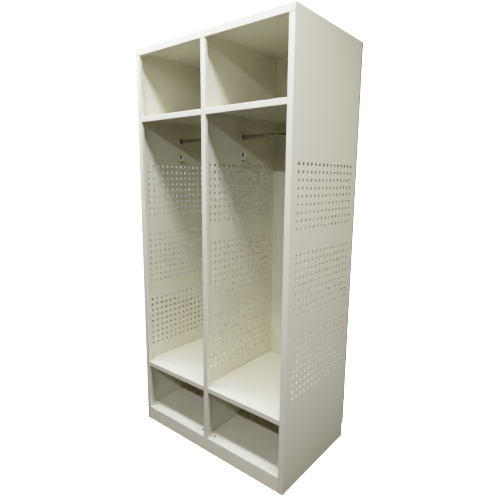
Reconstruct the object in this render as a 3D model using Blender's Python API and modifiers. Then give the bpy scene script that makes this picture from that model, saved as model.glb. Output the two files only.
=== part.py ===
"""Slim open-front work locker: two side-by-side bays of folded sheet steel.

Each bay has a top cubby, a hanging space with a coat rod and a hook, a bench
seat and a shoe cubby. Metres, +Z up, front towards -Y, origin on the floor
under the centre of the locker.
"""

import math

import bmesh
import bpy
from mathutils import Matrix, Vector

# Overall sizes
overall_width = 0.875
overall_height = 1.850
body_depth = 0.522

# Sheet metal
sheet = 0.001
seam = 0.0003
fold_radius = 0.002
fold_steps = 2
relief = 0.003
overrun = 0.002
weld_distance = 0.00001

# Uprights: the two side panels and the centre divider
upright_face = 0.025
upright_return = 0.015
rear_flange = 0.016
end_flange = 0.015
end_flange_inset = 0.030

# Roof
fascia_height = 0.030
fascia_return = 0.015
fascia_gap = 0.001
roof_rear_drop = 0.024
roof_rear_radius = 0.008
roof_rear_steps = 4

# Back panel
back_rim = 0.008
back_clearance_below = 0.060
back_corner_rise = 0.026

# Shelf, bench and base trays
cubby_height = 0.300
bench_top = 0.3265
floor_top = 0.072
lip_height = 0.0245
lip_return = 0.012
floor_hem = 0.004
tray_flange = 0.020

# Fixing holes in the base trays, measured from the webs and from the front face
fixing_hole_diameter = 0.010
fixing_hole_sides = 12
fixing_hole_from_side_web = 0.023
fixing_hole_from_divider_web = 0.040
fixing_hole_from_front = 0.033

# Plinth
plinth_return = 0.014

# Bench stiffener, a hat section under each seat
hat_crown = 0.040
hat_depth = 0.018
hat_brim = 0.014

# Perforations in every upright: groups of square rows
hole_diameter = 0.010
hole_sides = 6
hole_pitch = 0.030
hole_edge_margin = 0.045
rows_in_group = 9
plain_band = 0.090
lowest_row_above_bench = 0.0795
highest_row_below_shelf = 0.224
punched_every = 2

# Coat rods and their end sockets
rod_diameter = 0.019
rod_wall = 0.0012
rod_sides = 20
rod_drop = 0.093
socket_flange_diameter = 0.034
socket_flange = 0.0025
socket_cup_diameter = 0.025
socket_cup_depth = 0.0105
socket_clearance = 0.0002

# Coat hooks: a flange on the wall, and a J-shaped blade that stands out from it
hook_drop = 0.164
hook_height = 0.037
hook_flange = 0.026
hook_strap = 0.002
hook_fold_radius = 0.0035
hook_reach = 0.038
hook_stem = 0.010
hook_foot = 0.005
hook_throat = 0.018
hook_tip_width = 0.013
hook_tip_rise = 0.034
hook_heel_radius = 0.014
hook_corner_radius = 0.004
hook_arc_steps = 4

# Rivets of the coat hooks
rivet_shank_diameter = 0.004
rivet_clearance = 0.0002
rivet_head_diameter = 0.008
rivet_head_height = 0.0016
rivet_sides = 12
rivet_from_hook_top = 0.010
rivet_spacing = 0.017

# Places worked out from the sizes above
overall_depth = body_depth + seam + back_rim + seam + sheet
left = -overall_width / 2
right = overall_width / 2
front = -overall_depth / 2
body_rear = front + body_depth
divider_left = -upright_face / 2
divider_right = upright_face / 2
roof_underside = overall_height - sheet
upright_top = roof_underside - seam
fascia_bottom = overall_height - fascia_height
shelf_top = overall_height - cubby_height
plinth_top = floor_top - floor_hem - seam
tray_rear = body_rear - sheet - seam
mid_depth = front + body_depth / 2
rod_height = shelf_top - rod_drop
hook_top = shelf_top - hook_drop

# Colours: red, green, blue, then roughness and metallic
powder_coat = ("powder_coat", (0.80, 0.79, 0.73), 0.45, 0.0)
bright_steel = ("bright_steel", (0.62, 0.61, 0.58), 0.25, 1.0)

for scene_object in list(bpy.data.objects):
    bpy.data.objects.remove(scene_object)

locker_collection = bpy.data.collections.new("slim_work_locker")
cutter_collection = bpy.data.collections.new("cutters")
bpy.context.scene.collection.children.link(locker_collection)
bpy.context.scene.collection.children.link(cutter_collection)
locker_origin = bpy.data.objects.new("locker_origin", None)
locker_collection.objects.link(locker_origin)


def piece_material(node_name, finish):
    """One Principled material for one piece."""
    finish_name, colour, roughness, metallic = finish
    material = bpy.data.materials.new(f"{node_name}_{finish_name}")
    material.use_nodes = True
    shader = material.node_tree.nodes["Principled BSDF"]
    shader.inputs["Base Color"].default_value = (*colour, 1.0)
    shader.inputs["Roughness"].default_value = roughness
    shader.inputs["Metallic"].default_value = metallic
    material.diffuse_color = (*colour, 1.0)
    return material


def place_piece(name, mesh, finish, location=(0, 0, 0)):
    """Put a finished mesh into the locker as a named piece."""
    piece = bpy.data.objects.new(name, mesh)
    piece.location = location
    piece.data.materials.append(piece_material(name, finish))
    piece.parent = locker_origin
    locker_collection.objects.link(piece)
    return piece


def place_cutter(name, mesh):
    """Put a cutter beside the locker, hidden from renders."""
    cutter = bpy.data.objects.new(name, mesh)
    cutter.display_type = "WIRE"
    cutter.hide_render = True
    cutter_collection.objects.link(cutter)
    return cutter


def cut(piece, cutter):
    """Take a cutter's volume out of a piece."""
    modifier = piece.modifiers.new(cutter.name, "BOOLEAN")
    modifier.operation = "DIFFERENCE"
    modifier.solver = "EXACT"
    modifier.object = cutter


def box_cutter(name, low, high):
    """A box between two corners."""
    box = bmesh.new()
    size = Vector(high) - Vector(low)
    middle = (Vector(high) + Vector(low)) / 2
    matrix = Matrix.Translation(middle) @ Matrix.Diagonal(size).to_4x4()
    bmesh.ops.create_cube(box, size=1.0, matrix=matrix)
    mesh = bpy.data.meshes.new(name)
    box.to_mesh(mesh)
    box.free()
    return place_cutter(name, mesh)


def punch_cutter(name, centres, axis, diameter, sides, length):
    """Round punches of one diameter along one axis, one for each centre."""
    punches = bmesh.new()
    turn = Vector((0, 0, 1)).rotation_difference(Vector(axis)).to_matrix().to_4x4()
    for centre in centres:
        bmesh.ops.create_cone(
            punches,
            cap_ends=True,
            segments=sides,
            radius1=diameter / 2,
            radius2=diameter / 2,
            depth=length,
            matrix=Matrix.Translation(centre) @ turn,
        )
    mesh = bpy.data.meshes.new(name)
    punches.to_mesh(mesh)
    punches.free()
    return place_cutter(name, mesh)


def sheet_mesh(name, panels, outward):
    """Weld flat panels at the edges that they share.

    The first panel's normal is turned to outward, and the others follow it.
    """
    surface = bmesh.new()
    for panel in panels:
        surface.faces.new([surface.verts.new(corner) for corner in panel])
    bmesh.ops.remove_doubles(surface, verts=surface.verts, dist=weld_distance)
    bmesh.ops.recalc_face_normals(surface, faces=surface.faces)
    surface.faces.ensure_lookup_table()
    if surface.faces[0].normal.dot(Vector(outward)) < 0:
        bmesh.ops.reverse_faces(surface, faces=surface.faces)
    mesh = bpy.data.meshes.new(name)
    surface.to_mesh(mesh)
    surface.free()
    return mesh


def thicken(piece, thickness):
    """Give an outer surface its thickness, inwards."""
    modifier = piece.modifiers.new("thickness", "SOLIDIFY")
    modifier.thickness = thickness
    modifier.offset = -1
    modifier.use_even_offset = True


def round_folds(piece, radius, steps):
    """Round every fold between two panels."""
    modifier = piece.modifiers.new("folds", "BEVEL")
    modifier.width = radius
    modifier.segments = steps
    modifier.limit_method = "ANGLE"
    modifier.angle_limit = math.radians(30)


def folded_sheet(name, panels, outward, finish):
    """A pressing: flat panels, rounded folds and the sheet's thickness."""
    piece = place_piece(name, sheet_mesh(name, panels, outward), finish)
    round_folds(piece, fold_radius, fold_steps)
    thicken(piece, sheet)
    return piece


def rounded_path(corners, radii, steps):
    """A path through corners, each inner one replaced by an arc."""
    path = [Vector(corners[0])]
    for index, radius in enumerate(radii, start=1):
        corner = Vector(corners[index])
        before = (Vector(corners[index - 1]) - corner).normalized()
        after = (Vector(corners[index + 1]) - corner).normalized()
        half_angle = before.angle(after) / 2
        centre = corner + (before + after).normalized() * (radius / math.sin(half_angle))
        start = corner + before * (radius / math.tan(half_angle)) - centre
        end = corner + after * (radius / math.tan(half_angle)) - centre
        for step in range(steps[index - 1] + 1):
            share = step / steps[index - 1]
            blend = start.slerp(end, share)
            path.append(centre + blend.normalized() * radius)
    path.append(Vector(corners[-1]))
    return path


def swept_panels(path, place, low, high):
    """Flat strips along a path, from low to high across it."""
    strips = []
    for here, there in zip(path, path[1:]):
        strips.append([place(here, low), place(there, low), place(there, high), place(here, high)])
    return strips


def turned_mesh(name, profile):
    """Turn a closed outline of (radius, distance along X) about the X axis."""
    outline = bmesh.new()
    corners = [outline.verts.new((along, 0, radius)) for radius, along in profile]
    for here, there in zip(corners, corners[1:] + corners[:1]):
        if here.co.z > 0 or there.co.z > 0:
            outline.edges.new((here, there))
    mesh = bpy.data.meshes.new(name)
    outline.to_mesh(mesh)
    outline.free()
    return mesh


def turned_piece(name, profile, sides, location, facing, finish):
    """A turned piece at a place, its profile running along facing (+1 or -1) X."""
    piece = place_piece(name, turned_mesh(name, profile), finish, location)
    piece.rotation_euler = (0, 0, 0 if facing > 0 else math.pi)
    screw = piece.modifiers.new("turned", "SCREW")
    screw.axis = "X"
    screw.steps = sides
    screw.render_steps = sides
    screw.use_merge_vertices = True
    screw.merge_threshold = weld_distance
    screw.use_normal_calculate = True
    screw.use_normal_flip = True
    return piece


def web_outline(web_x):
    """The web of an upright, with a bend relief at each end of its end flanges."""
    flange_start = front + end_flange_inset
    flange_end = body_rear - end_flange_inset
    foot = [
        (front, 0),
        (flange_start - relief, 0),
        (flange_start - relief, relief),
        (flange_start, relief),
        (flange_start, 0),
        (flange_end, 0),
        (flange_end, relief),
        (flange_end + relief, relief),
        (flange_end + relief, 0),
        (body_rear, 0),
    ]
    head = [(y, upright_top - z) for y, z in reversed(foot)]
    return [(web_x, y, z) for y, z in foot + head]


def upright_panels(web_x, inward):
    """Panels of an upright whose flanges point inward (+1 or -1 along X)."""
    face_x = web_x + inward * upright_face
    rear_x = web_x + inward * rear_flange
    end_x = web_x + inward * end_flange
    flange_start = front + end_flange_inset
    flange_end = body_rear - end_flange_inset

    def standing(corners):
        """A full-height panel over two points of the plan."""
        (x1, y1), (x2, y2) = corners
        return [(x1, y1, 0), (x2, y2, 0), (x2, y2, upright_top), (x1, y1, upright_top)]

    panels = [
        web_outline(web_x),
        standing([(web_x, front), (face_x, front)]),
        standing([(face_x, front), (face_x, front + upright_return)]),
        standing([(web_x, body_rear), (rear_x, body_rear)]),
    ]
    for z in (0, upright_top):
        panels.append([
            (web_x, flange_start, z),
            (web_x, flange_end, z),
            (end_x, flange_end, z),
            (end_x, flange_start, z),
        ])
    return panels


def perforation_places(web_x):
    """Centres of the punched holes of one web."""
    columns = int((body_depth - hole_edge_margin * 2) / hole_pitch) + 1
    first_y = mid_depth - hole_pitch * (columns - 1) / 2
    group_height = hole_pitch * (rows_in_group - 1)
    lowest = bench_top + lowest_row_above_bench
    highest = shelf_top - highest_row_below_shelf
    groups = max(1, int((highest - lowest + plain_band) / (group_height + plain_band)))
    spare = highest - lowest - group_height
    group_pitch = spare / max(1, groups - 1)
    places = []
    for group in range(groups):
        for row in range(0, rows_in_group, punched_every):
            for column in range(0, columns, punched_every):
                y = first_y + hole_pitch * column
                z = lowest + group_pitch * group + hole_pitch * row
                places.append((web_x, y, z))
    return places


def make_upright(name, web_x, inward):
    """A side panel or the divider: one perforated pressing."""
    upright = folded_sheet(name, upright_panels(web_x, inward), (-inward, 0, 0), powder_coat)
    cut(upright, punch_cutter(
        f"{name}_perforations",
        perforation_places(web_x),
        (1, 0, 0),
        hole_diameter,
        hole_sides,
        (sheet + overrun) * 2,
    ))
    return upright


def clear_box(upright, name, x_range, depth, z_range):
    """Cut an upright back from the front face, over a range of X and Z."""
    low = (min(x_range), front - overrun, min(z_range))
    high = (max(x_range), front + depth, max(z_range))
    cut(upright, box_cutter(f"{upright.name}_{name}", low, high))


def make_side_panel(name, web_x, inward):
    """An outer upright, cut back at the top so that the fascia runs past it."""
    panel = make_upright(name, web_x, inward)
    face_x = web_x + inward * (upright_face + overrun)
    above_fascia = (fascia_bottom - fascia_gap, overall_height + overrun)
    outside = web_x - inward * overrun
    behind_web = web_x + inward * (sheet + seam)
    clear_box(panel, "fascia_clearance", (outside, face_x), sheet + seam, above_fascia)
    behind_lip = max(upright_return, fascia_return) + overrun
    clear_box(panel, "fascia_lip_clearance", (behind_web, face_x), behind_lip, above_fascia)
    return panel


def make_divider():
    """The centre upright, cut back for the roof's fascia and for the plinth."""
    divider = make_upright("centre_divider", divider_left, 1)
    across = (divider_left - overrun, divider_right + overrun)
    above_fascia = (fascia_bottom - fascia_gap, overall_height + overrun)
    below_floor = (-overrun, plinth_top + seam)
    behind_fascia = max(upright_return, fascia_return) + overrun
    behind_plinth = max(upright_return, plinth_return) + overrun
    clear_box(divider, "fascia_clearance", across, behind_fascia, above_fascia)
    clear_box(divider, "plinth_clearance", across, behind_plinth, below_floor)
    return divider


def make_roof():
    """The roof: fascia with its lip, top sheet and rounded rear drop."""
    rear = front + overall_depth
    path = rounded_path(
        [
            (0, front + fascia_return, fascia_bottom),
            (0, front, fascia_bottom),
            (0, front, overall_height),
            (0, rear, overall_height),
            (0, rear, overall_height - roof_rear_drop),
        ],
        [fold_radius, fold_radius, roof_rear_radius],
        [fold_steps, fold_steps, roof_rear_steps],
    )
    panels = swept_panels(path, lambda point, x: (x, point.y, point.z), left, right)
    mesh = sheet_mesh("roof_panel", list(reversed(panels)), (0, 1, 0))
    roof = place_piece("roof_panel", mesh, powder_coat)
    thicken(roof, sheet)
    for side, web_x in (("left", left), ("right", right)):
        inward = 1 if web_x < 0 else -1
        inside = web_x + inward * (sheet + seam)
        outside = web_x - inward * overrun
        low = (min(inside, outside), front + sheet + seam, fascia_bottom - overrun)
        high = (max(inside, outside), front + fascia_return + overrun, fascia_bottom + fold_radius)
        cut(roof, box_cutter(f"roof_lip_{side}_end", low, high))
    return roof


def make_back_panel():
    """The back: a flat sheet with rims folded backwards at its sides and foot.

    Its top edge stands behind the uprights, inside the roof's rounded rear fold.
    """
    y = body_rear + seam
    rim_y = y + back_rim
    low = back_clearance_below
    rim_top = overall_height - roof_rear_radius - seam
    outline = [
        (left, low + relief),
        (left + relief, low + relief),
        (left + relief, low),
        (right - relief, low),
        (right - relief, low + relief),
        (right, low + relief),
        (right, rim_top),
        (right - relief, rim_top),
        (right - relief, upright_top),
        (left + relief, upright_top),
        (left + relief, rim_top),
        (left, rim_top),
    ]
    panels = [[(x, y, z) for x, z in outline]]
    for x in (left, right):
        panels.append([
            (x, y, low + relief),
            (x, rim_y, low + back_corner_rise),
            (x, rim_y, rim_top),
            (x, y, rim_top),
        ])
    panels.append([
        (left + relief, y, low),
        (right - relief, y, low),
        (right - relief, rim_y, low),
        (left + relief, rim_y, low),
    ])
    return folded_sheet("back_panel", panels, (0, -1, 0), powder_coat)


def tray_panels(bay, top, lip, folded_back):
    """Panels of a tray that fills one bay, its lip flush with the front.

    bay gives the low and high X of the tray and of its lip. Where the lip is
    shorter, the sheet is notched round the upright's front flange.
    """
    tray_low, lip_low, lip_high, tray_high = bay
    notch = front + upright_return + seam
    bottom = top - tray_flange
    lip_bottom = top - lip

    def front_corner(lip_x, tray_x):
        """The sheet's edge from the lip's end to the start of the side fold."""
        if lip_x != tray_x:
            return [(lip_x, front), (lip_x, notch), (tray_x, notch)]
        step = relief if tray_x < (tray_low + tray_high) / 2 else -relief
        return [
            (lip_x, front),
            (lip_x, notch - relief),
            (lip_x + step, notch - relief),
            (lip_x + step, notch),
            (tray_x, notch),
        ]

    outline = list(reversed(front_corner(lip_low, tray_low)))
    outline += front_corner(lip_high, tray_high)
    outline += [
        (tray_high, tray_rear - relief),
        (tray_high - relief, tray_rear - relief),
        (tray_high - relief, tray_rear),
        (tray_low + relief, tray_rear),
        (tray_low + relief, tray_rear - relief),
        (tray_low, tray_rear - relief),
    ]
    panels = [[(x, y, top) for x, y in outline]]
    panels.append([
        (lip_low, front, top),
        (lip_high, front, top),
        (lip_high, front, lip_bottom),
        (lip_low, front, lip_bottom),
    ])
    if folded_back:
        panels.append([
            (lip_low, front, lip_bottom),
            (lip_high, front, lip_bottom),
            (lip_high, front + lip_return, lip_bottom),
            (lip_low, front + lip_return, lip_bottom),
        ])
    for x in (tray_low, tray_high):
        panels.append([
            (x, notch, top),
            (x, tray_rear - relief, top),
            (x, tray_rear - relief, bottom),
            (x, notch, bottom),
        ])
    panels.append([
        (tray_low + relief, tray_rear, top),
        (tray_high - relief, tray_rear, top),
        (tray_high - relief, tray_rear, bottom),
        (tray_low + relief, tray_rear, bottom),
    ])
    return panels


def make_tray(name, bay, top, lip, folded_back=True):
    """A shelf, bench or base tray."""
    return folded_sheet(name, tray_panels(bay, top, lip, folded_back), (0, 0, 1), powder_coat)


def make_base_tray(name, bay, hole_places):
    """A base tray, with a fixing hole by each upright near the front."""
    tray = make_tray(name, bay, floor_top, floor_hem, folded_back=False)
    places = [(x, front + fixing_hole_from_front, floor_top) for x in hole_places]
    cut(tray, punch_cutter(
        f"{name}_fixing_holes",
        places,
        (0, 0, 1),
        fixing_hole_diameter,
        fixing_hole_sides,
        (sheet + overrun) * 2,
    ))
    return tray


def make_plinth():
    """The kick plate between the side panels, folded back at top and bottom."""
    path = rounded_path(
        [
            (0, front + plinth_return, plinth_top),
            (0, front, plinth_top),
            (0, front, 0),
            (0, front + plinth_return, 0),
        ],
        [fold_radius, fold_radius],
        [fold_steps, fold_steps],
    )
    low = left + upright_face + seam
    high = right - upright_face - seam
    panels = swept_panels(path, lambda point, x: (x, point.y, point.z), low, high)
    mesh = sheet_mesh("front_plinth", panels, (0, 0, 1))
    plinth = place_piece("front_plinth", mesh, powder_coat)
    thicken(plinth, sheet)
    return plinth


def make_stiffener(name, bay):
    """A hat section under a bench seat, from one side flange to the other."""
    tray_low, lip_low, lip_high, tray_high = bay
    top = bench_top - sheet - seam
    crown_bottom = top - hat_depth
    half = hat_crown / 2
    path = rounded_path(
        [
            (0, mid_depth - half - hat_brim, top),
            (0, mid_depth - half, top),
            (0, mid_depth - half, crown_bottom),
            (0, mid_depth + half, crown_bottom),
            (0, mid_depth + half, top),
            (0, mid_depth + half + hat_brim, top),
        ],
        [fold_radius] * 4,
        [fold_steps] * 4,
    )
    low = tray_low + fold_radius + seam
    high = tray_high - fold_radius - seam
    panels = swept_panels(path, lambda point, x: (x, point.y, point.z), low, high)
    stiffener = place_piece(name, sheet_mesh(name, panels, (0, 0, 1)), powder_coat)
    thicken(stiffener, sheet)
    return stiffener


def make_rod_set(side, low_web, high_web):
    """A coat rod in its two end sockets, between the faces of two webs."""
    cup_radius = socket_cup_diameter / 2
    bore_radius = rod_diameter / 2 + socket_clearance
    mouth = socket_flange + socket_cup_depth
    socket_profile = [
        (0, 0),
        (socket_flange_diameter / 2, 0),
        (socket_flange_diameter / 2, socket_flange),
        (cup_radius, socket_flange),
        (cup_radius, mouth),
        (bore_radius, mouth),
        (bore_radius, socket_flange),
        (0, socket_flange),
    ]
    for end, x, facing in (("left", low_web + seam, 1), ("right", high_web - seam, -1)):
        turned_piece(
            f"rod_socket_{side}_bay_{end}",
            socket_profile,
            rod_sides,
            (x, mid_depth, rod_height),
            facing,
            bright_steel,
        )
    rod_start = low_web + socket_flange + seam * 2
    rod_length = high_web - low_web - (socket_flange + seam * 2) * 2
    outer = rod_diameter / 2
    inner = outer - rod_wall
    rod_profile = [(inner, 0), (outer, 0), (outer, rod_length), (inner, rod_length)]
    turned_piece(
        f"coat_rod_{side}",
        rod_profile,
        rod_sides,
        (rod_start, mid_depth, rod_height),
        1,
        bright_steel,
    )


def hook_blade(back_x, blade_y):
    """The outline of a hook's blade, from the wall flange's foot to its head."""
    foot = hook_top - hook_height
    tip_x = back_x + hook_reach
    throat_x = tip_x - hook_tip_width
    stem_x = back_x + hook_stem
    corners = [
        (back_x, blade_y, foot),
        (stem_x, blade_y, foot),
        (stem_x, blade_y, foot + hook_foot),
        (tip_x, blade_y, foot + hook_foot),
        (tip_x, blade_y, foot + hook_tip_rise),
        (throat_x, blade_y, foot + hook_tip_rise),
        (throat_x, blade_y, foot + hook_throat),
        (stem_x, blade_y, foot + hook_throat),
        (stem_x, blade_y, hook_top),
        (back_x, blade_y, hook_top),
    ]
    small = hook_corner_radius
    radii = [small / 2, small / 2, hook_heel_radius, small, small, small, small, small]
    return [tuple(point) for point in rounded_path(corners, radii, [hook_arc_steps] * len(radii))]


def make_hook_set(side, upright, web_face, web_outer):
    """A folded hook on the left wall of a bay, with two rivets through the web."""
    back_x = web_face + seam
    blade_y = mid_depth - hook_flange / 2
    flange_y = mid_depth + hook_flange / 2
    name = f"coat_hook_{side}"
    panels = [
        hook_blade(back_x, blade_y),
        [
            (back_x, blade_y, hook_top - hook_height),
            (back_x, flange_y, hook_top - hook_height),
            (back_x, flange_y, hook_top),
            (back_x, blade_y, hook_top),
        ],
    ]
    hook = place_piece(name, sheet_mesh(name, panels, (0, -1, 0)), bright_steel)
    round_folds(hook, hook_fold_radius, hook_arc_steps)
    thicken(hook, hook_strap)

    shank_radius = rivet_shank_diameter / 2
    head_radius = rivet_head_diameter / 2
    shank_length = back_x + hook_strap + seam - web_outer
    crown_radius = head_radius * math.sqrt(1 / 2)
    rivet_profile = [
        (0, 0),
        (shank_radius, 0),
        (shank_radius, shank_length),
        (head_radius, shank_length),
        (crown_radius, shank_length + rivet_head_height * math.sqrt(1 / 2)),
        (0, shank_length + rivet_head_height),
    ]
    places = []
    for level, label in enumerate(("upper", "lower")):
        z = hook_top - rivet_from_hook_top - rivet_spacing * level
        places.append((web_outer, mid_depth, z))
        turned_piece(
            f"{name}_rivet_{label}",
            rivet_profile,
            rivet_sides,
            (web_outer, mid_depth, z),
            1,
            bright_steel,
        )
    punches = punch_cutter(
        f"{name}_rivet_holes",
        places,
        (1, 0, 0),
        rivet_shank_diameter + rivet_clearance * 2,
        rivet_sides,
        (shank_length + overrun) * 2,
    )
    cut(hook, punches)
    cut(upright, punches)


left_panel = make_side_panel("left_side_panel", left, 1)
right_panel = make_side_panel("right_side_panel", right, -1)
centre_divider = make_divider()
make_roof()
make_back_panel()
make_plinth()

# Each bay: low X of the tray, low and high X of its lip, high X of the tray
bays = {
    "left": (
        left + sheet + seam,
        left + upright_face + seam,
        divider_left - seam,
        divider_left - seam,
    ),
    "right": (
        divider_left + sheet + seam,
        divider_right + seam,
        right - upright_face - seam,
        right - sheet - seam,
    ),
}
fixing_holes = {
    "left": (left + fixing_hole_from_side_web, divider_left - fixing_hole_from_divider_web),
    "right": (divider_left + fixing_hole_from_divider_web, right - fixing_hole_from_side_web),
}
for bay_side, bay_limits in bays.items():
    make_tray(f"top_shelf_{bay_side}", bay_limits, shelf_top, lip_height)
    make_tray(f"bench_seat_{bay_side}", bay_limits, bench_top, lip_height)
    make_base_tray(f"base_floor_{bay_side}", bay_limits, fixing_holes[bay_side])
    make_stiffener(f"bench_stiffener_{bay_side}", bay_limits)

make_rod_set("left", left + sheet, divider_left)
make_rod_set("right", divider_left + sheet, right - sheet)
make_hook_set("left", left_panel, left + sheet, left)
make_hook_set("right", centre_divider, divider_left + sheet, divider_left)
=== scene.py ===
"""The looks of the slim work locker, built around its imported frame."""
import math

import bmesh
import bpy
from mathutils import Matrix, Vector


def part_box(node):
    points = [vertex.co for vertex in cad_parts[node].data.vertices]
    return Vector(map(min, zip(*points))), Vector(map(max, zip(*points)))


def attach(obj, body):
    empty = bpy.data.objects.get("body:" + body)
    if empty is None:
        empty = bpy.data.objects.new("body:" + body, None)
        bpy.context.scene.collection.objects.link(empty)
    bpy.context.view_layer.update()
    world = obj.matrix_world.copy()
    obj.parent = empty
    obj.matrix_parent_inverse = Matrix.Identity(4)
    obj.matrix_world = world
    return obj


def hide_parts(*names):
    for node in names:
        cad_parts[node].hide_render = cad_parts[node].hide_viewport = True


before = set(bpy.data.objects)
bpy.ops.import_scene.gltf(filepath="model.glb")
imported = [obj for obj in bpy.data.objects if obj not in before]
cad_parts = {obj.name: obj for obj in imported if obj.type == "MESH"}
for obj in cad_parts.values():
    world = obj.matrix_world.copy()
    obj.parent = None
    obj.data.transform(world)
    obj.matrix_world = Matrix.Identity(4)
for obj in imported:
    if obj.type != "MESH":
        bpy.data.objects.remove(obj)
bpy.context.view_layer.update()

# Lengths are in metres and angles in degrees. The camera's lens and sensor are in millimetres.

# Sheet metal, whose folds are the edges that turn by more than the fold angle
SHEET = 0.001
SEAM = 0.0003
CLEARANCE = 0.002
RELIEF = 0.003
FOLD_RADIUS = 0.002
FOLD_STEPS = 4
FOLD_ANGLE = 30
WELD_DISTANCE = 0.00001

# Modifier settings: the sheet's thickness lies behind its outer face, and large faces shade flat
THICKNESS_BEHIND = -1
FLAT_FACE_WEIGHT = 100

# Uprights: the two side panels and the divider
FACE = 0.025
FACE_RETURN = 0.015
REAR_FLANGE = 0.016
END_FLANGE = 0.015
END_FLANGE_INSET = 0.030
FASCIA_HEIGHT = 0.030
FASCIA_GAP = 0.001
TO_RIGHT = 1
TO_LEFT = -1

# Perforations: groups of rows, with each hole in a square cell
HOLE_RADIUS = 0.0063
HOLE_SIDES = 16
PITCH = 0.030
COLUMNS = 15
ROWS = 9
GROUPS = 3
LOWEST_ABOVE_BENCH = 0.0795
HIGHEST_BELOW_SHELF = 0.224

# Turns: a quarter, and the direction of a cell's first corner from its hole
QUARTER_TURN = 90
FIRST_CORNER = -135

# Holes for the hooks' rivets
RIVET_HOLE_RADIUS = 0.0022
RIVET_CUTTER_LENGTH = 0.060

# Powder coat: faint mottling, uneven gloss, a fine orange peel, and painted shade on the back's
# folded rim
COAT_DARK = (0.790, 0.765, 0.590)
COAT_PALE = (0.810, 0.785, 0.612)
COAT_ROUGHNESS = (0.34, 0.46)
COAT_SPECULAR = 0.5
MOTTLE_SCALE = 9.0
MOTTLE_DETAIL = 3.0
GLOSS_SCALE = 35.0
GLOSS_DETAIL = 2.0
PEEL_SCALE = 420.0
PEEL_DETAIL = 1.0
PEEL_STRENGTH = 0.12
PEEL_HEIGHT = 0.0004
# Painted shade for the outer sides of the back's folded rim
RIM_PAINTED_SHADE = (0.12, 0.11, 0.085)

# Plated steel: chrome rods and zinc rivets, with an even or a drawn grain
GRAIN_DETAIL = 3.0
GRAIN_DARK_SHARE = 0.85
EVEN_GRAIN = (120.0, 120.0, 120.0)
DRAWN_GRAIN = (8.0, 900.0, 900.0)
CHROME = (0.37, 0.35, 0.27)
CHROME_METALLIC = 1.0
CHROME_ROUGHNESS = (0.04, 0.12)
ZINC = (0.62, 0.61, 0.49)
ZINC_METALLIC = 0.25
ZINC_ROUGHNESS = (0.32, 0.48)

# Plated steel in two tones: each depth is how far the tone by the wall reaches from it. The
# sockets' dark plate is paler by the wall, and the hooks get painted shade by the wall
# The dark tone is the sockets' plate and the painted shade on the hooks' flanges
DARK_PLATE_AND_PAINTED_SHADE = (0.20, 0.19, 0.15)
HOOK_PALE = (0.74, 0.73, 0.60)
HOOK_PAINTED_SHADE_DEPTH = 0.0026
SOCKET_PALE = (0.92, 0.89, 0.72)
SOCKET_PALE_DEPTH = 0.0078
SOCKET_METALLIC = 0.6
SOCKET_ROUGHNESS = (0.25, 0.40)

# Stage
FLOOR_RADIUS = 40.0
FLOOR_SIDES = 96
FLOOR_DROP = 0.0005
FLOOR_SEEN = (0.35, 0.32, 0.245)
BACKDROP_AWAY = 2.3
BACKDROP_WIDTH = 60.0
BACKDROP_HEIGHT = 12.0
BACKDROP_SEEN = (0.78, 0.75, 0.64)
BLACK = (0, 0, 0)

# Surround: what it lights with, and how bright the camera sees it
WORLD_LIGHT = (0.180, 0.124, 0.082)
WORLD_SEEN = 8.0

# Rows of ceiling tubes in front of the locker, each part of a row given by its X and its power
CEILING = 2.46
TUBE_LENGTH = 1.2
NEAR_DISTANCES = (0.395, 0.501)
NEAR_WIDTH = 0.012
NEAR_PARTS = ((-1.2, 16.5), (0.0, 12.5), (1.2, 9.0), (2.4, 13.2))
NEAR_COLOUR = (0.76, 0.80, 0.98)
FAR_DISTANCES = (2.22,)
FAR_WIDTH = 0.04
FAR_PARTS = ((-0.6, 9.0), (0.6, 40.0), (1.8, 28.0))
FAR_COLOUR = (0.81, 0.87, 0.98)

# Soft glows from above and below on the right
CEILING_GLOW_PLACE = (2.4, 0.2, CEILING)
CEILING_GLOW_TARGET = (2.4, 0.2, 0)
CEILING_GLOW_SIZE = (1.2, 1.2)
CEILING_GLOW_POWER = 29.0
CEILING_GLOW_COLOUR = (0.98, 1.0, 0.87)
GROUND_GLOW_PLACE = (1.9, 0, 0.01)
GROUND_GLOW_TARGET = (1.9, 0, 1)
GROUND_GLOW_SIZE = (2.4, 2.4)
GROUND_GLOW_POWER = 7.0
GROUND_GLOW_COLOUR = (0.58, 0.63, 1.0)

# Soft light from behind, for the outer pieces alone
REAR_PLACE = (-2.6, 2.4, 2.2)
REAR_SIZE = (2.6, 2.6)
REAR_POWER = 80.0
REAR_COLOUR = (1.0, 0.98, 0.94)
REAR_RECEIVERS = ("left_side_pressing", "right_side_pressing", "back_panel", "roof_panel")

# Distant lights for one piece each, given by their strength and their height's angle
FLOOR_LIGHT = (80.0, 36)
BACKDROP_LIGHT = (19.0, 9)
PLINTH_LIGHT = (0.36, 5)
DISTANT_SPREAD = 1.5
DISTANT_TURN = 53.5

# Highlights: rolled off from the knee up to the level that shows as white
KNEE = 0.4
WHITE_AT = 3.0
SHOULDER_STEPS = 20

# Camera, solved from the photo's straight edges, with its lens and sensor in millimetres
LENS = 29.52
SENSOR_WIDTH = 36.0
CAMERA_PLACE = (1.2528, -1.4973, 1.2711)
CAMERA_TURN = 39.02
CAMERA_DIP = 9.907
CAMERA_ROLL = 0.61

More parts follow.
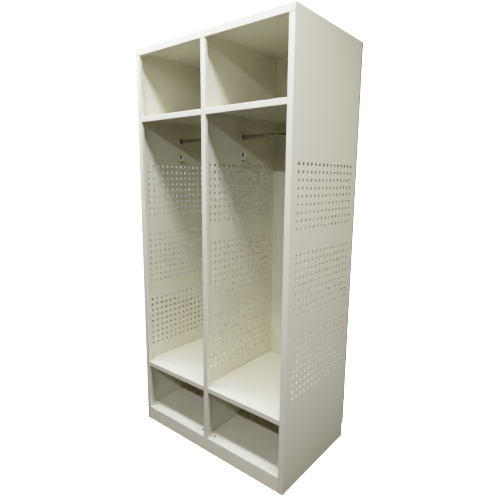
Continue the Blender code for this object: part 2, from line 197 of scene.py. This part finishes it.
# Places read from the frame
left_low, left_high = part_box("left_side_panel")
right_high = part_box("right_side_panel")[1]
divider_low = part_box("centre_divider")[0]
roof_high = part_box("roof_panel")[1]
plinth_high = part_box("front_plinth")[1]
shelf_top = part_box("top_shelf_left")[1].z
bench_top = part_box("bench_seat_left")[1].z
FRONT = left_low.y
REAR = left_high.y
MIDDLE_Y = (FRONT + REAR) / 2
FLANGE_START = FRONT + END_FLANGE_INSET
FLANGE_END = REAR - END_FLANGE_INSET
UPRIGHT_TOP = left_high.z
FACE_TOP = roof_high.z - FASCIA_HEIGHT - FASCIA_GAP


# Helpers


def placed(name, data):
    """A new object in the scene that holds this data."""
    item = bpy.data.objects.new(name, data)
    bpy.context.scene.collection.objects.link(item)
    return item


def turned(degrees, axis):
    """A rotation about an axis, as a matrix of four by four."""
    return Matrix.Rotation(math.radians(degrees), 4, axis)


def opaque(colour):
    """A colour with full alpha."""
    return (*colour, 1)


# Materials


def new_material(name):
    """A material with a Principled shader, and its nodes and links."""
    material = bpy.data.materials.new(name)
    material.use_nodes = True
    return material, material.node_tree.nodes, material.node_tree.links


def shader_of(material):
    """The material's Principled shader."""
    return material.node_tree.nodes["Principled BSDF"]


def object_place(material):
    """The place of what is shaded, as a socket."""
    return material.node_tree.nodes.new("ShaderNodeTexCoord").outputs["Object"]


def noise(material, place, detail, scale=1):
    """A noise pattern over a place socket, as a socket."""
    texture = material.node_tree.nodes.new("ShaderNodeTexNoise")
    texture.inputs["Scale"].default_value = scale
    texture.inputs["Detail"].default_value = detail
    material.node_tree.links.new(place, texture.inputs["Vector"])
    return texture.outputs["Fac"]


def vary_roughness(material, pattern, limits):
    """Let a pattern vary the roughness between two limits."""
    nodes, links = material.node_tree.nodes, material.node_tree.links
    spread = nodes.new("ShaderNodeMapRange")
    spread.inputs["To Min"].default_value, spread.inputs["To Max"].default_value = limits
    links.new(pattern, spread.inputs["Value"])
    links.new(spread.outputs["Result"], shader_of(material).inputs["Roughness"])


def colour_by(material, share, colour):
    """A mix that sets the base colour, and turns to a colour where the share is high."""
    nodes, links = material.node_tree.nodes, material.node_tree.links
    mix = nodes.new("ShaderNodeMix")
    mix.data_type = "RGBA"
    mix.inputs["B"].default_value = opaque(colour)
    links.new(share, mix.inputs["Factor"])
    links.new(mix.outputs["Result"], shader_of(material).inputs["Base Color"])
    return mix


def vary_colour(material, pattern, dark, pale):
    """Let a pattern vary the base colour between two shades."""
    colour_by(material, pattern, pale).inputs["A"].default_value = opaque(dark)


def shade_where(material, mask, colour):
    """Give the places that a mask picks another base colour."""
    plain = shader_of(material).inputs["Base Color"].links[0].from_socket
    mix = colour_by(material, mask, colour)
    material.node_tree.links.new(plain, mix.inputs["A"])


def maths(material, operation, value, *limits):
    """A socket with the result of an operation on a socket's value."""
    node = material.node_tree.nodes.new("ShaderNodeMath")
    node.operation = operation
    material.node_tree.links.new(value, node.inputs[0])
    for socket, limit in zip(node.inputs[1:], limits):
        socket.default_value = limit
    return node.outputs["Value"]


def place_along_x(material):
    """The X place of what is shaded, as a socket."""
    along = material.node_tree.nodes.new("ShaderNodeSeparateXYZ")
    material.node_tree.links.new(object_place(material), along.inputs["Vector"])
    return along.outputs["X"]


def near_wall(material, wall, depth):
    """A mask of the places within a depth of the wall at this X."""
    return maths(material, "COMPARE", place_along_x(material), wall, depth)


def powder_coat(name):
    """Warm white powder coat: a fine orange peel with faint mottling."""
    material, nodes, links = new_material(name)
    shader = shader_of(material)
    place = object_place(material)
    vary_colour(material, noise(material, place, MOTTLE_DETAIL, MOTTLE_SCALE), COAT_DARK, COAT_PALE)
    vary_roughness(material, noise(material, place, GLOSS_DETAIL, GLOSS_SCALE), COAT_ROUGHNESS)
    bump = nodes.new("ShaderNodeBump")
    bump.inputs["Strength"].default_value = PEEL_STRENGTH
    bump.inputs["Distance"].default_value = PEEL_HEIGHT
    links.new(noise(material, place, PEEL_DETAIL, PEEL_SCALE), bump.inputs["Height"])
    links.new(bump.outputs["Normal"], shader.inputs["Normal"])
    shader.inputs["Specular IOR Level"].default_value = COAT_SPECULAR
    return material


def back_coat_with_painted_rim_shade():
    """The powder coat, with painted shade on the outer sides of the back's folded rim."""
    material = powder_coat("powder_coat_back_painted_rim_shade")
    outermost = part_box("back_panel")[1].x - SHEET / 2
    from_middle = maths(material, "ABSOLUTE", place_along_x(material))
    # Painted shade on the outer sides of the rim
    shade_where(material, maths(material, "GREATER_THAN", from_middle, outermost), RIM_PAINTED_SHADE)
    return material


def plated_steel(name, colour, metallic, roughness, grain):
    """Plated steel whose fine grain varies its shade and gloss."""
    material, nodes, links = new_material(name)
    shader_of(material).inputs["Metallic"].default_value = metallic
    stretch = nodes.new("ShaderNodeMapping")
    stretch.inputs["Scale"].default_value = grain
    links.new(object_place(material), stretch.inputs["Vector"])
    pattern = noise(material, stretch.outputs["Vector"], GRAIN_DETAIL)
    vary_roughness(material, pattern, roughness)
    vary_colour(material, pattern, [GRAIN_DARK_SHARE * channel for channel in colour], colour)
    return material


def socket_finish(node_name):
    """Dark plated steel, paler on the flange and on the foot of the cup."""
    name = f"{node_name}_plate"
    material = plated_steel(name, DARK_PLATE_AND_PAINTED_SHADE, SOCKET_METALLIC, SOCKET_ROUGHNESS, EVEN_GRAIN)
    low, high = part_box(node_name)
    wall = low.x if node_name.endswith("_left") else high.x
    shade_where(material, near_wall(material, wall, SOCKET_PALE_DEPTH), SOCKET_PALE)
    return material


def hook_zinc_with_painted_shade(node_name):
    """Zinc plate, with painted shade on the flange that lies on the wall."""
    name = f"{node_name}_plate"
    material = plated_steel(name, HOOK_PALE, ZINC_METALLIC, ZINC_ROUGHNESS, EVEN_GRAIN)
    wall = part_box(node_name)[0].x
    # Painted shade on the hook's flange by the wall
    shade_where(material, near_wall(material, wall, HOOK_PAINTED_SHADE_DEPTH), DARK_PLATE_AND_PAINTED_SHADE)
    return material


# Folded sheets


def rivet_hole_cutter():
    """Rods along X through the webs where the hooks' rivets go, to cut their holes with."""
    cutter = bmesh.new()
    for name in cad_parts:
        if "_rivet_" in name:
            low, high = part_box(name)
            bmesh.ops.create_cone(
                cutter,
                cap_ends=True,
                segments=HOLE_SIDES,
                radius1=RIVET_HOLE_RADIUS,
                radius2=RIVET_HOLE_RADIUS,
                depth=RIVET_CUTTER_LENGTH,
                matrix=Matrix.Translation((low + high) / 2) @ turned(QUARTER_TURN, "Y"),
            )
    mesh = bpy.data.meshes.new("rivet_holes")
    cutter.to_mesh(mesh)
    cutter.free()
    return placed("rivet_holes", mesh)


def folded_sheet(name, panels, outward):
    """A pressing made of flat panels, with rounded folds and its thickness behind them."""
    surface = bmesh.new()
    for panel in panels:
        surface.faces.new([surface.verts.new(corner) for corner in panel])
    bmesh.ops.remove_doubles(surface, verts=surface.verts, dist=WELD_DISTANCE)
    bmesh.ops.recalc_face_normals(surface, faces=surface.faces)
    surface.faces.ensure_lookup_table()
    if surface.faces[0].normal.dot(Vector(outward)) < 0:
        bmesh.ops.reverse_faces(surface, faces=surface.faces)
    mesh = bpy.data.meshes.new(name)
    surface.to_mesh(mesh)
    surface.free()
    piece = placed(name, mesh)
    folds = piece.modifiers.new("folds", "BEVEL")
    folds.width = FOLD_RADIUS
    folds.segments = FOLD_STEPS
    folds.limit_method = "ANGLE"
    folds.angle_limit = math.radians(FOLD_ANGLE)
    thickness = piece.modifiers.new("thickness", "SOLIDIFY")
    thickness.thickness = SHEET
    thickness.offset = THICKNESS_BEHIND
    thickness.use_even_offset = True
    return piece


def cut_and_smooth(piece, cutter):
    """Cut a sheet's rivet holes, and shade it: bends smooth, flat faces flat, edges sharp."""
    rivets = piece.modifiers.new("rivets", "BOOLEAN")
    rivets.object = cutter
    bpy.context.view_layer.update()
    evaluated = piece.evaluated_get(bpy.context.evaluated_depsgraph_get())
    mesh = bpy.data.meshes.new_from_object(evaluated)
    piece.modifiers.clear()
    piece.data = mesh
    mesh.shade_smooth()
    mesh.set_sharp_from_angle(angle=math.radians(FOLD_ANGLE))
    weighted = piece.modifiers.new("flat_faces", "WEIGHTED_NORMAL")
    weighted.mode = "FACE_AREA"
    weighted.weight = FLAT_FACE_WEIGHT
    weighted.keep_sharp = True


def hole_cell(y, z):
    """One square cell round a hole: a panel for each side of the square."""
    half = PITCH / 2
    corners = [
        (y - half, z - half),
        (y + half, z - half),
        (y + half, z + half),
        (y - half, z + half),
    ]
    arc_steps = HOLE_SIDES // len(corners)
    panels = []
    for side, start in enumerate(corners):
        end = corners[(side + 1) % len(corners)]
        first = math.radians(FIRST_CORNER + QUARTER_TURN * side)
        arc = []
        for step in range(arc_steps + 1):
            angle = first + math.tau * step / HOLE_SIDES
            arc.append((y + HOLE_RADIUS * math.cos(angle), z + HOLE_RADIUS * math.sin(angle)))
        panels.append([start, end] + arc[::-1])
    return panels


def web_panels(foot, head):
    """The web as panels of (y, z) from its foot outline to its head outline, and its levels.

    Groups of perforated cells alternate with plain bands, which share the
    corners of the cells next to them. The levels are the lower and upper edge
    of each group.
    """
    columns = [MIDDLE_Y + PITCH * (column - (COLUMNS - 1) / 2) for column in range(COLUMNS)]
    cell_edges = [columns[0] - PITCH / 2 + PITCH * index for index in range(COLUMNS + 1)]
    lowest = bench_top + LOWEST_ABOVE_BENCH
    highest = shelf_top - HIGHEST_BELOW_SHELF
    group_pitch = (highest - lowest - PITCH * (ROWS - 1)) / (GROUPS - 1)
    panels = []
    levels = []
    below = foot
    for group in range(GROUPS):
        rows = [lowest + group_pitch * group + PITCH * row for row in range(ROWS)]
        row_edges = [rows[0] - PITCH / 2 + PITCH * index for index in range(ROWS + 1)]
        low, high = row_edges[0], row_edges[-1]
        above = [(REAR, low)] + [(y, low) for y in cell_edges[::-1]] + [(FRONT, low)]
        panels.append(below + above)
        panels.append([(FRONT, low)] + [(cell_edges[0], z) for z in row_edges] + [(FRONT, high)])
        panels.append([(REAR, low)] + [(cell_edges[-1], z) for z in row_edges] + [(REAR, high)])
        for z in rows:
            for y in columns:
                panels.extend(hole_cell(y, z))
        below = [(FRONT, high)] + [(y, high) for y in cell_edges] + [(REAR, high)]
        levels += [low, high]
    panels.append(below + head)
    return panels, levels


def flange_edge(z, notch_z):
    """The web's edge where an end flange folds off it, with a relief notch at each end."""
    return [
        (FLANGE_START - RELIEF, z),
        (FLANGE_START - RELIEF, notch_z),
        (FLANGE_START, notch_z),
        (FLANGE_START, z),
        (FLANGE_END, z),
        (FLANGE_END, notch_z),
        (FLANGE_END + RELIEF, notch_z),
        (FLANGE_END + RELIEF, z),
    ]


def strip(first, second, low, high):
    """An upright panel between two places (x, y), from a low to a high level."""
    return [(*first, low), (*second, low), (*second, high), (*first, high)]


def upright_panels(web_x, inward, face_foot, set_back):
    """A side panel or the divider as flat panels, with every hole of its perforation.

    face_foot is where the front face starts. Above the face, and below it
    where it doesn't reach the floor, the web is set back from the front.
    """
    web_front = FRONT + set_back
    foot = [(FRONT, face_foot)]
    if face_foot > 0:
        foot += [(web_front, face_foot), (web_front, 0)]
    foot += flange_edge(0, RELIEF) + [(REAR, 0)]
    head = [(REAR, UPRIGHT_TOP)] + flange_edge(UPRIGHT_TOP, UPRIGHT_TOP - RELIEF)[::-1]
    head += [(web_front, UPRIGHT_TOP), (web_front, FACE_TOP), (FRONT, FACE_TOP)]
    flat, levels = web_panels(foot, head)
    panels = [[(web_x, y, z) for y, z in panel] for panel in flat]

    face_x = web_x + inward * FACE
    face_levels = [face_foot] + levels + [FACE_TOP]
    for low, high in zip(face_levels, face_levels[1:]):
        panels.append(strip((web_x, FRONT), (face_x, FRONT), low, high))
        panels.append(strip((face_x, FRONT), (face_x, FRONT + FACE_RETURN), low, high))

    rear_x = web_x + inward * REAR_FLANGE
    rear_levels = [0] + levels + [UPRIGHT_TOP]
    for low, high in zip(rear_levels, rear_levels[1:]):
        panels.append(strip((web_x, REAR), (rear_x, REAR), low, high))

    end_x = web_x + inward * END_FLANGE
    end_flange = [
        (web_x, FLANGE_START),
        (web_x, FLANGE_END),
        (end_x, FLANGE_END),
        (end_x, FLANGE_START),
    ]
    for z in (0, UPRIGHT_TOP):
        panels.append([(x, y, z) for x, y in end_flange])
    return panels


# Stage and light


def stage_material(name, shade):
    """A matt surface for the camera, which gives no light back to the locker."""
    material, nodes, links = new_material(name)
    nodes.remove(shader_of(material))
    seen = nodes.new("ShaderNodeLightPath")
    either = nodes.new("ShaderNodeMixShader")
    links.new(seen.outputs["Is Camera Ray"], either.inputs["Fac"])
    for socket, colour in zip(either.inputs[1:], (BLACK, shade)):
        surface = nodes.new("ShaderNodeBsdfDiffuse")
        surface.inputs["Color"].default_value = opaque(colour)
        links.new(surface.outputs["BSDF"], socket)
    links.new(either.outputs["Shader"], nodes["Material Output"].inputs["Surface"])
    return material


def flat_piece(name, corners, material):
    """A piece of the stage with one flat face."""
    mesh = bpy.data.meshes.new(name)
    mesh.from_pydata(corners, [], [tuple(range(len(corners)))])
    mesh.materials.append(material)
    return placed(name, mesh)


def stage_floor():
    """A wide pale floor under the locker."""
    bpy.ops.mesh.primitive_circle_add(
        vertices=FLOOR_SIDES,
        radius=FLOOR_RADIUS,
        fill_type="NGON",
        location=(0, 0, -FLOOR_DROP),
    )
    floor = bpy.context.object
    floor.name = "stage_floor"
    floor.data.materials.append(stage_material("stage_pale", FLOOR_SEEN))
    return floor


def stage_backdrop():
    """A pale studio wall behind the locker, across the line of sight."""
    half = BACKDROP_WIDTH / 2
    outline = [(-half, 0), (half, 0), (half, BACKDROP_HEIGHT), (-half, BACKDROP_HEIGHT)]
    corners = [turned(CAMERA_TURN, "Z") @ Vector((x, BACKDROP_AWAY, z)) for x, z in outline]
    pale = stage_material("backdrop_pale", BACKDROP_SEEN)
    backdrop = flat_piece("stage_backdrop", corners, pale)
    backdrop.visible_diffuse = False
    backdrop.visible_glossy = False
    backdrop.visible_shadow = False
    return backdrop


def shadow_card(passing):
    """An unseen card in the left panel's sheet, which stops only the stage's lights at its holes.

    The lights in passing shine through it.
    """
    x = left_low.x + SHEET / 2
    front, rear = FRONT + FACE, REAR - FACE
    outline = [(front, bench_top), (rear, bench_top), (rear, shelf_top), (front, shelf_top)]
    black = stage_material("card_black", BLACK)
    card = flat_piece("stage_card", [(x, y, z) for y, z in outline], black)
    card.visible_camera = False
    card.visible_diffuse = False
    card.visible_glossy = False
    passed = bpy.data.collections.new("passed_card")
    passed.objects.link(card)
    passed.collection_objects[0].light_linking.link_state = "EXCLUDE"
    for light in passing:
        light.light_linking.blocker_collection = passed


def area_light(name, place, target, size, power, colour):
    """A rectangular soft light that points at a target."""
    data = bpy.data.lights.new(name, "AREA")
    data.shape = "RECTANGLE"
    data.size, data.size_y = size
    data.energy = power
    data.color = colour
    light = placed(name, data)
    light.location = place
    light.rotation_euler = (Vector(target) - Vector(place)).to_track_quat("-Z", "Y").to_euler()
    light.visible_camera = False
    return light


def tube_rows(name, distances, width, parts, colour):
    """Rows of ceiling tubes along X, whose parts differ in strength.

    The shadow edges on the locker's walls give the distances from its front.
    """
    for distance in distances:
        for x, power in parts:
            y = FRONT - distance
            area_light(name, (x, y, CEILING), (x, y, 0), (TUBE_LENGTH, width), power, colour)


def only_for(light, receivers):
    """Let a light reach only these pieces."""
    lit = bpy.data.collections.new(f"{light.name}_receivers")
    for receiver in receivers:
        lit.objects.link(receiver)
    light.light_linking.receiver_collection = lit


def distant_light(name, receiver, strength, height):
    """A distant light from the front that only one piece receives."""
    data = bpy.data.lights.new(name, "SUN")
    data.energy = strength
    data.angle = math.radians(DISTANT_SPREAD)
    light = placed(name, data)
    light.rotation_euler = (math.radians(QUARTER_TURN - height), 0, math.radians(DISTANT_TURN))
    only_for(light, [receiver])


def studio_world():
    """A white surround for the camera, dim and warm as a light."""
    world = bpy.data.worlds.new("studio")
    world.use_nodes = True
    nodes, links = world.node_tree.nodes, world.node_tree.links
    seen = nodes.new("ShaderNodeLightPath")
    either = nodes.new("ShaderNodeMix")
    either.data_type = "RGBA"
    either.inputs["A"].default_value = opaque(WORLD_LIGHT)
    either.inputs["B"].default_value = opaque((WORLD_SEEN, WORLD_SEEN, WORLD_SEEN))
    links.new(seen.outputs["Is Camera Ray"], either.inputs["Factor"])
    links.new(either.outputs["Result"], nodes["Background"].inputs["Color"])
    bpy.context.scene.world = world


def soft_highlights():
    """Roll the highlights off as a camera does, from the knee up to white."""
    settings = bpy.context.scene.view_settings
    settings.view_transform = "Standard"
    settings.use_curve_mapping = True
    settings.curve_mapping.white_level = (WHITE_AT, WHITE_AT, WHITE_AT)
    points = settings.curve_mapping.curves[-1].points
    room = 1 - KNEE
    whole = 1 - math.exp(-(WHITE_AT - KNEE) / room)
    for step in range(SHOULDER_STEPS):
        rise = (WHITE_AT - KNEE) * step / SHOULDER_STEPS
        shown = KNEE + room * (1 - math.exp(-rise / room)) / whole
        points.new((KNEE + rise) / WHITE_AT, shown).handle_type = "VECTOR"
    settings.curve_mapping.update()


def photo_camera():
    """The camera at the photo's place and angle."""
    data = bpy.data.cameras.new("camera")
    data.lens = LENS
    data.sensor_width = SENSOR_WIDTH
    camera = placed("camera", data)
    camera.matrix_world = (
        Matrix.Translation(CAMERA_PLACE)
        @ turned(CAMERA_TURN, "Z")
        @ turned(QUARTER_TURN - CAMERA_DIP, "X")
        @ turned(CAMERA_ROLL, "Z")
    )
    return camera


# Finishes that several pieces share
paint = powder_coat("powder_coat_warm_white")
rod_chrome = plated_steel("rod_chrome", CHROME, CHROME_METALLIC, CHROME_ROUGHNESS, DRAWN_GRAIN)
zinc = plated_steel("zinc_plate", ZINC, ZINC_METALLIC, ZINC_ROUGHNESS, EVEN_GRAIN)

# Each upright's piece and node, its web's X, the way it folds, its face's foot and its set-back
side_set_back = SHEET + SEAM
divider_set_back = FACE_RETURN + CLEARANCE
divider_foot = plinth_high.z + SEAM
uprights = (
    ("left_side_pressing", "left_side_panel", left_low.x, TO_RIGHT, 0, side_set_back),
    ("right_side_pressing", "right_side_panel", right_high.x, TO_LEFT, 0, side_set_back),
    ("divider_pressing", "centre_divider", divider_low.x, TO_RIGHT, divider_foot, divider_set_back),
)
rivet_holes = rivet_hole_cutter()
for name, node_name, web_x, inward, face_foot, set_back in uprights:
    panels = upright_panels(web_x, inward, face_foot, set_back)
    piece = folded_sheet(name, panels, (-inward, 0, 0))
    cut_and_smooth(piece, rivet_holes)
    piece.data.materials.append(paint)
    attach(piece, "root")
    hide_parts(node_name)
bpy.data.objects.remove(rivet_holes)

# The CAD's own pieces keep their shapes and get their finishes, with painted shade on the hooks'
# flanges and the back's rim
for node_name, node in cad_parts.items():
    if node_name.startswith("coat_rod"):
        finish = rod_chrome
    elif node_name.startswith("rod_socket"):
        finish = socket_finish(node_name)
    elif "_rivet_" in node_name:
        finish = zinc
    elif node_name.startswith("coat_hook"):
        finish = hook_zinc_with_painted_shade(node_name)
    elif node_name == "back_panel":
        finish = back_coat_with_painted_rim_shade()
    else:
        finish = paint
    node.data.materials.clear()
    node.data.materials.append(finish)

# The locker's own lights, which pass the card at the left panel's holes
tube_rows("near_tube", NEAR_DISTANCES, NEAR_WIDTH, NEAR_PARTS, NEAR_COLOUR)
tube_rows("far_tube", FAR_DISTANCES, FAR_WIDTH, FAR_PARTS, FAR_COLOUR)
area_light(
    "ceiling_glow",
    CEILING_GLOW_PLACE,
    CEILING_GLOW_TARGET,
    CEILING_GLOW_SIZE,
    CEILING_GLOW_POWER,
    CEILING_GLOW_COLOUR,
)
area_light(
    "ground_glow",
    GROUND_GLOW_PLACE,
    GROUND_GLOW_TARGET,
    GROUND_GLOW_SIZE,
    GROUND_GLOW_POWER,
    GROUND_GLOW_COLOUR,
)
rear_target = (0, 0, UPRIGHT_TOP / 2)
rear_light = area_light("rear_light", REAR_PLACE, rear_target, REAR_SIZE, REAR_POWER, REAR_COLOUR)
only_for(rear_light, [bpy.data.objects[name] for name in REAR_RECEIVERS])
shadow_card([item for item in bpy.data.objects if item.type == "LIGHT"])
studio_world()
soft_highlights()

# The stage and the lights that only one piece receives
distant_light("floor_light", stage_floor(), *FLOOR_LIGHT)
distant_light("backdrop_light", stage_backdrop(), *BACKDROP_LIGHT)
distant_light("plinth_light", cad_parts["front_plinth"], *PLINTH_LIGHT)

bpy.context.scene.camera = photo_camera()
